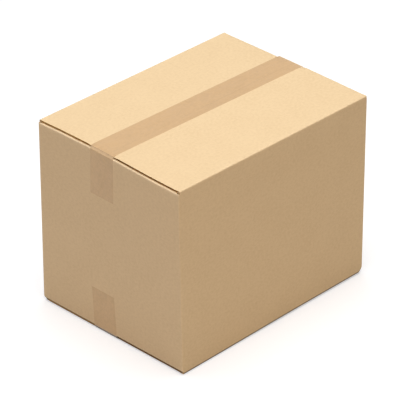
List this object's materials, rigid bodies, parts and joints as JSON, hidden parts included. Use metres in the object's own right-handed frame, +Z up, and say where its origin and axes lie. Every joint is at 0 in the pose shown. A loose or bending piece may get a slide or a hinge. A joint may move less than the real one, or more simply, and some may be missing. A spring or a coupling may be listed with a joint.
{
  "type": "closed cardboard box",
  "caption": "Closed corrugated box with folded flaps, a taped centre seam above and below, and tape tails down its ends.",
  "frame": {"origin": "on the ground under the middle of the box", "axes": "+X along the box's length, parallel to the seam, +Y across it, +Z up"},
  "size_m": [0.4042, 0.3, 0.3201],
  "materials": {
    "kraft_board": "plain kraft liner, matt",
    "packing_tape": "buff packing film, satin",
    "joint_glue": "dried white carton glue"
  },
  "bodies": {
    "root": {"carton": "kraft_board", "top_tape": "packing_tape", "bottom_tape": "packing_tape", "joint_glue": "joint_glue"}
  },
  "joints": []
}
